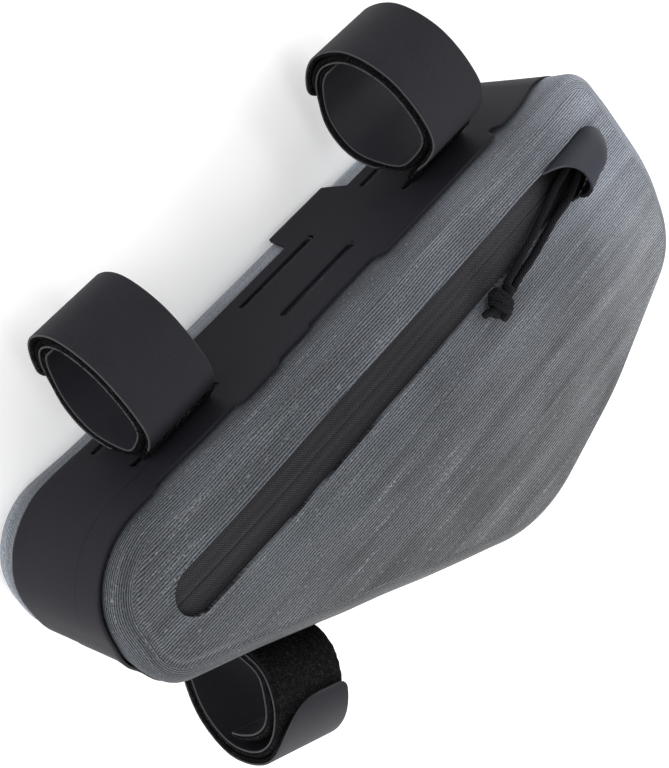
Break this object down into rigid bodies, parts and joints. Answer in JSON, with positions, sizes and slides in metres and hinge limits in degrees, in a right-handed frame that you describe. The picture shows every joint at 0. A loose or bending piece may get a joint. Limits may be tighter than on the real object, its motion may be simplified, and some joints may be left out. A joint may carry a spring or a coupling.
{
  "type": "bicycle frame bag",
  "caption": "Hollow half-frame bag for a bicycle, with a slotted strap sheet, rolled hook-and-loop straps, a flat side zipper with a garage, and a knotted pull cord.",
  "frame": {"origin": "centre of the bottom of the bag's bounding box as it lies on its far side panel", "axes": "+X along the long top edge from the round nose to the rear end, +Y towards the strap side, +Z the outward normal of the zip panel"},
  "size_m": [0.3504, 0.2312, 0.0897],
  "materials": {
    "ribbed_laminate": "fine ribbed laminate, matte",
    "coated_sheet": "smooth coated sheet, matte",
    "zip_tape": "fine herringbone weave",
    "garage_moulding": "matte",
    "strap_skin": "smooth woven skin, matte",
    "strap_pile": "thick loop pile",
    "braided_cord": "fine braid"
  },
  "bodies": {
    "root": {"pouch_shell": "ribbed_laminate", "strap_sheet": "coated_sheet", "zip_tape_upper": "zip_tape", "zip_tape_lower": "zip_tape", "zip_garage": "garage_moulding", "front_strap_hook_band": "strap_skin", "front_strap_loop_band": "strap_pile", "rear_strap_hook_band": "strap_skin", "rear_strap_loop_band": "strap_pile", "lower_strap_hook_band": "strap_skin", "lower_strap_loop_band": "strap_pile", "cord_strand_upper": "braided_cord", "cord_strand_lower": "braided_cord", "cord_knot": "braided_cord"}
  },
  "joints": []
}
